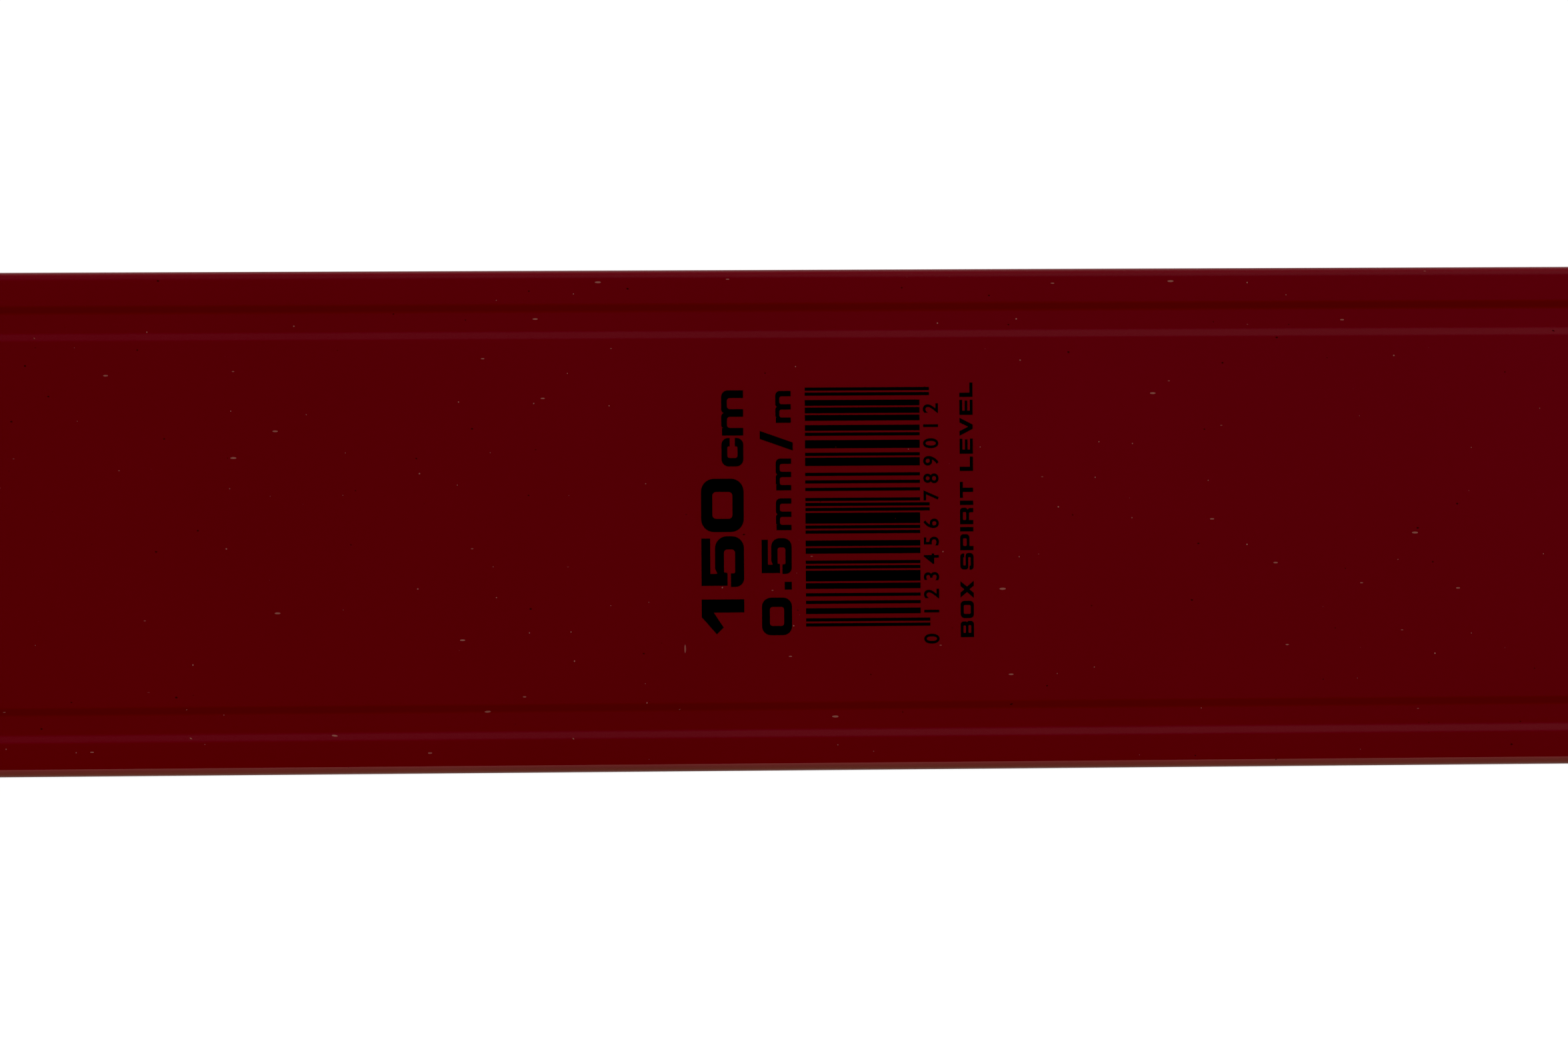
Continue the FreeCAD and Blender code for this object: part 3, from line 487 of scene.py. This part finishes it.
def print_block(material):
    """The printed block: length, accuracy, retail code with digits, and what the tool is.

    Sizes are in millimetres, and baselines and starts are from the block's middle."""
    def add(name, mesh, baseline, start):
        placed = on_front(mesh, PRINT_X + baseline * MM, MID_Z + start * MM)
        new_piece(f"print_{name}", placed, material)

    def add_line(name, text, height, length, baseline, start):
        add(name, filled(line_of(text, height * MM, length * MM), name), baseline, start)

    add_line("length", "150", height=5.1, length=18.6, baseline=-11.1, start=-13.6)
    add_line("unit", "cm", height=5.1, length=9.1, baseline=-11.1, start=6.45)
    add_line("accuracy", "0.5mm/m", height=3.6, length=29.2, baseline=-5.4, start=-13.75)
    bars = filled(code_bars(height=13.75 * MM, guard=1.15 * MM), "bars")
    add("bars", bars, baseline=10.02, start=-12.7)
    digits = small_digits(CODE_DIGITS, 1.77 * MM, digit_places())
    add("digits", digits, baseline=12.2, start=-12.95)
    add_line("name", "BOX SPIRIT LEVEL", height=1.6, length=30.5, baseline=16.4, start=-14.15)


# Materials -------------------------------------------------------------------------------


class Value:
    """A number's socket in a node tree; arithmetic on it adds Math nodes."""

    def __init__(self, tree, socket):
        self.tree = tree
        self.socket = socket

    def math(self, operation, *others, clamp=False):
        node = self.tree.nodes.new("ShaderNodeMath")
        node.operation = operation
        node.use_clamp = clamp
        for place, other in enumerate((self, *others)):
            if isinstance(other, Value):
                self.tree.links.new(other.socket, node.inputs[place])
            else:
                node.inputs[place].default_value = other
        return Value(self.tree, node.outputs[0])

    def __add__(self, other):
        return self.math("ADD", other)

    __radd__ = __add__

    def __mul__(self, other):
        return self.math("MULTIPLY", other)

    __rmul__ = __mul__

    def __sub__(self, other):
        return self.math("SUBTRACT", other)

    def __rsub__(self, other):
        return (self * -1.0) + other

    def above(self, level, width):
        """0 below the level, 1 above level + width, straight between."""
        return ((self - level) * (1.0 / width)).math("MAXIMUM", 0.0).math("MINIMUM", 1.0)


class Finish:
    """A material's node tree, with the pieces of pattern that the finishes share."""

    def __init__(self, name):
        self.material = bpy.data.materials.new(name)
        self.material.use_nodes = True
        self.tree = self.material.node_tree
        self.shader = self.tree.nodes["Principled BSDF"]
        self.place = self.node("ShaderNodeTexCoord").outputs["Object"]

    def node(self, kind, settings=(), **sockets):
        """Any node: its settings first, then the values or links of its sockets."""
        made = self.tree.nodes.new(kind)
        for key, value in dict(settings).items():
            setattr(made, key, value)
        for key, value in sockets.items():
            self.feed(made.inputs[key], value)
        return made

    def feed(self, target, value):
        """Links a socket to a target, or sets the target to a plain value."""
        if isinstance(value, Value):
            value = value.socket
        if isinstance(value, bpy.types.NodeSocket):
            self.tree.links.new(value, target)
        else:
            target.default_value = value

    def set(self, **sockets):
        """Sets sockets of the shader; an underscore in a name stands for a space."""
        for key, value in sockets.items():
            self.feed(self.shader.inputs[key.replace("_", " ")], value)

    def stretched(self, scale, turn=(0, 0, 0)):
        """Object coordinates scaled along each axis, then turned."""
        made = self.node("ShaderNodeMapping", Vector=self.place, Scale=scale, Rotation=turn)
        return made.outputs[0]

    def noise(self, scale, detail=2.0, rough=0.5, place=None):
        """Smooth noise from 0 to 1, with a scale in waves a metre."""
        made = self.node("ShaderNodeTexNoise", Vector=place or self.place, Scale=scale,
                         Detail=detail, Roughness=rough)
        return Value(self.tree, made.outputs[0])

    def points(self, place, scale, settings=()):
        """Distance to the nearest of scattered points, and two random values of that point's own."""
        made = self.node("ShaderNodeTexVoronoi", settings, Vector=place, Scale=scale)
        lots = self.node("ShaderNodeSeparateColor", Color=made.outputs["Color"])
        sockets = (made.outputs["Distance"], lots.outputs[0], lots.outputs[1])
        return [Value(self.tree, socket) for socket in sockets]

    def mixed(self, factor, first, second):
        """Colour between two, by a factor."""
        made = self.tree.nodes.new("ShaderNodeMix")
        made.data_type = "RGBA"
        self.feed(made.inputs[0], factor)
        self.feed(made.inputs[6], first)
        self.feed(made.inputs[7], second)
        return made.outputs[2]

    def bumped(self, height, depth):
        """Relief: a height of 1 stands a depth above a height of 0."""
        made = self.node("ShaderNodeBump", Height=height, Strength=1.0, Distance=depth)
        self.set(Normal=made.outputs[0])


def rgb(r, g, b):
    """A colour, fully opaque."""
    return (r, g, b, 1.0)


CHOSEN_EDGE = 0.001  # a point is chosen or not, with next to nothing between
FLECK_EDGE = 0.4  # a fleck's soft edge, of its size
MARK_EDGE = 0.04 * MM
SMALLEST_MARK = 0.25  # of the largest


def flecks(finish, scale, share, size):
    """Mask of sparse round flecks: a share of the scattered points, each as a small dot."""
    distance, lot, _ = finish.points(finish.place, scale)
    chosen = lot.above(1.0 - share, CHOSEN_EDGE)
    return (1.0 - distance.above(size * scale, size * scale * FLECK_EDGE)) * chosen


def marks(finish, flat, pitch, share, size, turn=0.0, narrow=1.0):
    """Mask of marks on a face: points scattered a pitch apart, a share of them a dot of up to a size.

    A mark is (its own size - distance to its point) over a soft edge, held between 0 and 1. The turn
    moves one kind of mark off the next. A narrow value under 1 draws the dots out across the bar into
    scratches, and over 1 flattens them."""
    place = finish.node(
        "ShaderNodeMapping", Vector=flat, Rotation=(0, 0, turn), Scale=(1 / pitch, narrow / pitch, 1))
    distance, lot, size_lot = finish.points(place.outputs[0], 1.0, {"voronoi_dimensions": "2D"})
    chosen = lot.above(1.0 - share, CHOSEN_EDGE)
    own_size = (size_lot * (1 - SMALLEST_MARK) + SMALLEST_MARK) * (size / pitch)
    inside = (own_size - distance) * (pitch / MARK_EDGE)
    return inside.math("MAXIMUM", 0.0).math("MINIMUM", 1.0) * chosen


# Where the paint ends, and where the floor's reflection is painted along the lower edge
MILLED_SKIN = 0.02 * MM
MILLED_EDGE = 0.01 * MM
FLOOR_REFLECTION_HEIGHT = 0.92 * MM
FLOOR_REFLECTION_EDGE = 0.05 * MM
FLOOR_REFLECTION_FADE_START = 0.05 * MM
FLOOR_REFLECTION_FADE = 0.6 * MM
BACK_SHIFT = 3.7  # metres along for each metre through, so the back has marks of its own


def red_paint():
    """Deep red powder coat with dust, pits painted near black as shade, chips and short scratches.

    A paler, greyer red is painted along the lower edge as a reflection of the floor, and the measuring
    faces are milled bare."""
    finish = Finish("red powder coat")
    axes = finish.node("ShaderNodeSeparateXYZ", Vector=finish.place)
    x, y, z = (Value(finish.tree, axes.outputs[k]) for k in range(3))
    flat = finish.node("ShaderNodeCombineXYZ", X=x + y * BACK_SHIFT, Y=z).outputs[0]
    milled = (z - MID_Z).math("ABSOLUTE").above(MID_Z - MILLED_SKIN, MILLED_EDGE)
    cloud = finish.noise(28, detail=3, rough=0.55)
    peel = finish.noise(900)
    paint = finish.mixed(cloud, rgb(0.094, 0.0003, 0.0034), rgb(0.106, 0.0006, 0.0042))

    # Painted reflection of the floor: the lower rounded edge, up to about 0.9 mm, is painted a paler,
    # greyer red, palest at the bottom
    floor_reflection = (1.0 - z.above(FLOOR_REFLECTION_HEIGHT, FLOOR_REFLECTION_EDGE)) * (cloud * 0.5 + 0.6)
    fade = z.above(FLOOR_REFLECTION_FADE_START, FLOOR_REFLECTION_FADE)
    reflected_floor_colour = finish.mixed(fade, rgb(0.4, 0.09, 0.045), rgb(0.22, 0.046, 0.04))
    paint = finish.mixed(floor_reflection, paint, reflected_floor_colour)

    dust = marks(finish, flat, pitch=4.5 * MM, share=0.2, size=0.11 * MM)
    chips = marks(finish, flat, pitch=13 * MM, share=0.25, size=0.42 * MM, turn=0.4, narrow=3.2)
    scratches = marks(finish, flat, pitch=14 * MM, share=0.3, size=0.16 * MM, turn=1.9, narrow=0.22)
    shaded_pits = marks(finish, flat, pitch=7 * MM, share=0.3, size=0.16 * MM, turn=0.9, narrow=1.4)
    pale = dust.math("MAXIMUM", chips * 0.8).math("MAXIMUM", scratches * 0.55)
    paint = finish.mixed(pale * 0.55, paint, rgb(0.34, 0.15, 0.11))
    # Painted shade: the pits, sunk in by the bump, are also coloured near black, as shade in them
    paint = finish.mixed(shaded_pits * 0.85, paint, rgb(0.006, 0.001, 0.001))

    lines = finish.noise(1.0, detail=3, rough=0.6, place=finish.stretched((2600, 30, 2600)))
    metal = finish.mixed(lines, rgb(0.42, 0.42, 0.43), rgb(0.62, 0.62, 0.63))
    finish.set(
        Base_Color=finish.mixed(milled, paint, metal),
        Metallic=milled,
        Roughness=(1.0 - milled) * (0.3 + cloud * 0.06) + milled * (0.28 + lines * 0.16),
        Specular_IOR_Level=0.13,
    )
    relief = peel * 0.35 + dust * 1.2 - shaded_pits * 1.6 - scratches * 0.6 + lines * milled * 0.6
    finish.bumped(relief, 0.02 * MM)
    return finish.material


def moulded(name, dark, light, rough, grain, depth):
    """Moulded plastic or rubber: fine grain, soft clouding and a few pale scuffs."""
    finish = Finish(name)
    cloud = finish.noise(60, detail=3, rough=0.6)
    grains = finish.noise(grain, rough=0.6)
    scuffs = flecks(finish, 240, share=0.1, size=0.12 * MM)
    colour = finish.mixed(cloud, dark, light)
    worn = rgb(*(min(1.0, 2.2 * c + 0.03) for c in light[:3]))
    finish.set(
        Base_Color=finish.mixed(scuffs * 0.35, colour, worn),
        Roughness=rough + (grains - 0.5) * 0.18 + cloud * 0.08,
        Specular_IOR_Level=0.4,
    )
    finish.bumped(grains, depth)
    return finish.material


def clear_acrylic():
    """Clear moulding with hair scratches and slight waviness."""
    finish = Finish("clear acrylic")
    wave = finish.noise(120, detail=1)
    streaks = finish.stretched((4000, 300, 260), turn=(0.3, 0.8, 0.2))
    hairs = finish.noise(1.0, rough=0.7, place=streaks)
    finish.set(
        Base_Color=rgb(0.97, 0.99, 0.98),
        Roughness=0.02 + hairs.above(0.68, 0.08) * 0.12,
        Transmission_Weight=1.0,
        IOR=1.49,
    )
    finish.bumped(wave * 0.4 + hairs * 0.05, 0.01 * MM)
    return finish.material


def vial_fluid():
    """Clear fluorescent yellow-green liquid, faintly uneven in its tint, with a painted glow that
    brightens it under any light.
    """
    finish = Finish("vial fluid")
    tint = finish.noise(90)
    colour = finish.mixed(tint, rgb(0.70, 0.93, 0.10), rgb(0.78, 0.97, 0.16))
    finish.set(Base_Color=colour, Roughness=0.0, Transmission_Weight=1.0, IOR=0.97)
    # Painted glow: a steady emission makes the liquid shine, though it is no lamp
    finish.set(Emission_Color=rgb(0.5, 0.85, 0.03), Emission_Strength=0.28)
    return finish.material


def vial_bubble():
    """Gas in the liquid: a surface that bends light the other way."""
    finish = Finish("bubble")
    tint = finish.noise(200, detail=1)
    colour = finish.mixed(tint, rgb(0.97, 1.0, 0.90), rgb(1.0, 1.0, 0.95))
    finish.set(Base_Color=colour, Roughness=0.0, Transmission_Weight=1.0, IOR=0.72)
    return finish.material


def steel_screw():
    """Zinc plated steel: a soft mottle over a fine grain."""
    finish = Finish("plated steel")
    mottle = finish.noise(1400, detail=3, rough=0.6)
    grain = finish.noise(5200)
    colour = finish.mixed(mottle, rgb(0.50, 0.50, 0.52), rgb(0.68, 0.68, 0.69))
    finish.set(Base_Color=colour, Metallic=1.0, Roughness=0.24 + mottle * 0.16)
    finish.bumped(grain, 0.004 * MM)
    return finish.material


def print_ink():
    """Black ink, thin and slightly uneven, with pinholes."""
    finish = Finish("black ink")
    film = finish.noise(1500, detail=3, rough=0.6)
    pinholes = flecks(finish, 420, share=0.04, size=0.06 * MM)
    colour = finish.mixed(film, rgb(0.0006, 0.0006, 0.0006), rgb(0.0016, 0.0013, 0.0013))
    finish.set(
        Base_Color=finish.mixed(pinholes * 0.6, colour, rgb(0.05, 0.001, 0.002)),
        Roughness=0.42 + film * 0.1,
        Specular_IOR_Level=0.11,
    )
    finish.bumped(film, 0.003 * MM)
    return finish.material


def ring_paint():
    """Gloss black of the vials' reference lines."""
    finish = Finish("ring black")
    film = finish.noise(1800)
    colour = finish.mixed(film, rgb(0.004, 0.004, 0.004), rgb(0.012, 0.012, 0.012))
    finish.set(Base_Color=colour, Roughness=0.2 + film * 0.1)
    return finish.material


MATERIALS = {
    "red_paint": red_paint(),
    "black_plastic": moulded(
        "black plastic", rgb(0.012, 0.012, 0.013), rgb(0.02, 0.02, 0.021),
        rough=0.42, grain=2600, depth=0.02 * MM),
    "black_rubber": moulded(
        "black rubber", rgb(0.010, 0.010, 0.010), rgb(0.018, 0.017, 0.017),
        rough=0.66, grain=1800, depth=0.03 * MM),
    "white_plastic": moulded(
        "white plastic", rgb(0.78, 0.78, 0.75), rgb(0.84, 0.84, 0.81),
        rough=0.34, grain=3200, depth=0.008 * MM),
    "sealing_plug": moulded(
        "sealing plug", rgb(0.10, 0.10, 0.10), rgb(0.15, 0.15, 0.15),
        rough=0.4, grain=2400, depth=0.01 * MM),
    "clear_acrylic": clear_acrylic(),
    "vial_fluid": vial_fluid(),
    "bubble": vial_bubble(),
    "black_lines": ring_paint(),
    "steel": steel_screw(),
    "black_print": print_ink(),
}


def dress_nodes():
    """Gives every CAD node that stays its finish, by its slot in the record."""
    for part in frame["record"]["subparts"]:
        node = frame["nodes"][part["node"]]
        node.data.materials.clear()
        node.data.materials.append(MATERIALS[part["material_slot"]])


# Vials -------------------------------------------------------------------------------------

VIAL_CAMBER = 400.0 * MM  # radius of the lengthwise curve that brings a bubble to the middle
FLUID_SHY = 0.02 * MM  # how far the liquid's ends stand off the cavity's
TIP = 0.02  # the smallest row of a closed shape, as a share of its radius or in radians
BLOCK_EDGE = 0.4 * MM
BARREL_ROWS = 25
EGG_ROWS = 28
ROUND_COUNT = 48


def barrel(half_length, radius, axis, centre):
    """Closed barrel about an axis: radius less x squared over twice the camber, with flat ends."""
    x = np.linspace(-half_length, half_length, BARREL_ROWS)
    r = radius - x**2 / (2 * VIAL_CAMBER)
    x = np.concatenate([[-half_length], x, [half_length]])
    r = np.concatenate([[r[0] * TIP], r, [r[-1] * TIP]])
    return revolved(x, r, axis, centre)


def revolved(x, r, axis, centre):
    """Points and faces of a radius curve turned about an axis, its ends closed with flat caps."""
    angles = np.linspace(0, 2 * math.pi, ROUND_COUNT, endpoint=False)
    u = np.outer(r, np.cos(angles))
    v = np.outer(r, np.sin(angles))
    along = np.repeat(x[:, None], ROUND_COUNT, axis=1)
    grid = np.stack([along, u, v], axis=-1)
    grid = np.roll(grid, axis, axis=-1).reshape(-1, 3) + np.asarray(centre)
    faces = side_faces(ROUND_COUNT, len(x))
    first_cap = np.arange(ROUND_COUNT)[::-1]
    last_cap = np.arange(ROUND_COUNT) + (len(x) - 1) * ROUND_COUNT
    return grid, faces + [first_cap.tolist(), last_cap.tolist()]


def egg(half_length, radius, axis, centre):
    """Ellipse turned about its long axis, its rows spaced evenly in angle."""
    turns = np.linspace(TIP, math.pi - TIP, EGG_ROWS)
    return revolved(-half_length * np.cos(turns), radius * np.sin(turns), axis, centre)


def middle_and_half(node):
    """Middle and half size of a node's box."""
    low, high = (np.array(corner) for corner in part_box(node))
    return (low + high) / 2, (high - low) / 2


def vial(prefix, axis, bubble_body):
    """A vial's visible liquid, bubble and block, each one surface inside the next."""
    def add(name, mesh, slot, replaced, body=LEVEL):
        new_piece(f"{prefix}_{name}", mesh, MATERIALS[slot], body=body,
                  replaces=[f"{prefix}_{replaced}"])

    across = (axis + 1) % 3
    centre, half = middle_and_half(f"{prefix}_fluid")
    liquid = new_mesh("liquid", *barrel(half[axis] - FLUID_SHY, half[across], axis, centre))
    add("liquid", smoothed(outward(liquid), VIAL_SHARP), "vial_fluid", "fluid")
    centre, half = middle_and_half(f"{prefix}_bubble")
    gas = new_mesh("gas", *egg(half[axis], half[across], axis, centre))
    add("gas", smoothed(outward(gas), VIAL_SHARP), "bubble", "bubble", body=bubble_body)
    low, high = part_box(f"{prefix}_block")
    front = rounded(box_corners(low[X], low[Z], high[X], high[Z], 0.0))
    block = new_mesh("block", *prism(front, Y, low[Y], high[Y]))
    add("clear_block", rounded_edges(outward(block), BLOCK_EDGE), "clear_acrylic", "block")


# Stage ---------------------------------------------------------------------------------------

BLACK_LEVEL = 0.012
STAGE_REACH = 40.0
FLOOR_DROP = 0.05 * MM
SURROUND_SINK = 0.2
SURROUND_COUNT = 64
SURROUND_ROWS = 12
SURROUND_GAP = 0.01  # radians left open overhead


def stage_material(name, colour, glow):
    """Matt white or grey with a glow of its own."""
    finish = Finish(name)
    speckle = finish.noise(6)
    shade = rgb(*(0.97 * c for c in colour[:3]))
    finish.set(Base_Color=finish.mixed(speckle, colour, shade), Roughness=0.7, Specular_IOR_Level=0.0)
    finish.set(Emission_Color=rgb(1, 1, 1), Emission_Strength=glow)
    return finish.material


def surround_mesh():
    """Half a sphere: rows of points at heights sin(t), t running evenly from the floor to overhead."""
    angles = np.linspace(0, 2 * math.pi, SURROUND_COUNT, endpoint=False)
    t = np.linspace(0.0, math.pi / 2 - SURROUND_GAP, SURROUND_ROWS)
    across = np.outer(np.cos(t), np.cos(angles))
    through = np.outer(np.cos(t), np.sin(angles))
    up = np.repeat(np.sin(t)[:, None], SURROUND_COUNT, axis=1)
    points = STAGE_REACH * np.stack([across, through, up], axis=-1).reshape(-1, 3)
    return new_mesh("surround", points - [0, 0, SURROUND_SINK], side_faces(SURROUND_COUNT, SURROUND_ROWS))


def stage():
    """Pale floor and a plain white surround, which are seen, and reflected, but light nothing."""
    square = box_corners(-STAGE_REACH, -STAGE_REACH, STAGE_REACH, STAGE_REACH, 0.0)
    corners = np.insert(rounded(square), Z, -FLOOR_DROP, axis=1)
    floor = bpy.data.objects.new("floor", new_mesh("floor", corners, [range(4)]))
    floor.data.materials.append(stage_material("pale floor", rgb(0.22, 0.22, 0.22), 0.86))
    surround = bpy.data.objects.new("surround", surround_mesh())
    surround.data.materials.append(stage_material("white surround", rgb(0, 0, 0), 1.05))
    surround.visible_shadow = False
    for thing in (floor, surround):
        thing.visible_diffuse = False
        bpy.context.scene.collection.objects.link(thing)


def soft_box(name, at, towards, width, height, power):
    """A rectangular light, in metres and watts, that gloss doesn't show."""
    data = bpy.data.lights.new(name, "AREA")
    data.shape = "RECTANGLE"
    data.size = width
    data.size_y = height
    data.energy = power
    light = bpy.data.objects.new(name, data)
    light.location = at
    light.rotation_mode = "QUATERNION"
    light.rotation_quaternion = (Vector(towards) - Vector(at)).to_track_quat("-Z", "Y")
    light.visible_glossy = False
    bpy.context.scene.collection.objects.link(light)


def lights():
    """A broad light from the front right, one from behind, a faint world and a slight lift off black."""
    soft_box("key light", at=(1.1, -1.45, 1.5), towards=(0.1, 0, 0.03), width=3.2, height=2.2, power=65)
    soft_box("back light", at=(-0.2, 1.4, 1.7), towards=(0, 0, 0.03), width=2.4, height=1.0, power=34)
    world = bpy.data.worlds.new("soft surround")
    world.use_nodes = True
    background = world.node_tree.nodes["Background"]
    background.inputs["Color"].default_value = rgb(1, 1, 1)
    background.inputs["Strength"].default_value = 0.2
    bpy.context.scene.world = world
    view = bpy.context.scene.view_settings
    view.view_transform = "Standard"
    view.look = "None"
    view.use_curve_mapping = True
    view.curve_mapping.black_level = (BLACK_LEVEL, BLACK_LEVEL, BLACK_LEVEL)


CAMERA_YAW = math.radians(2.5)
CAMERA_ROLL = math.radians(0.365)
CAMERA_DISTANCE = 0.5205
AIM_LEFT_OF_PRINT = 6.3 * MM
AIM_BELOW_MIDDLE = 0.28 * MM


def camera():
    """Long lens, square to the front but for a slight yaw and roll."""
    aim = Vector((PRINT_X - AIM_LEFT_OF_PRINT, -HALF_WIDTH, MID_Z - AIM_BELOW_MIDDLE))
    forward = Vector((math.sin(CAMERA_YAW), math.cos(CAMERA_YAW), 0))
    right = Vector((math.cos(CAMERA_YAW), -math.sin(CAMERA_YAW), 0))
    up = Vector((0, 0, 1)) * math.cos(CAMERA_ROLL) + right * math.sin(CAMERA_ROLL)
    right = forward.cross(up)
    data = bpy.data.cameras.new("camera")
    data.lens = 100
    data.sensor_width = 36
    data.clip_start = 0.05
    eye = bpy.data.objects.new("camera", data)
    turn = Matrix((right, up, -forward)).transposed()
    eye.matrix_world = Matrix.Translation(aim - forward * CAMERA_DISTANCE) @ turn.to_4x4()
    bpy.context.scene.collection.objects.link(eye)
    bpy.context.scene.camera = eye


camera()
lights()
stage()
dress_nodes()
painted_section(MATERIALS["red_paint"])
print_block(MATERIALS["black_print"])
vial("center_vial", X, "center_bubble")
for end_name in ENDS:
    vial(f"{end_name}_plumb", Z, f"{end_name}_bubble")
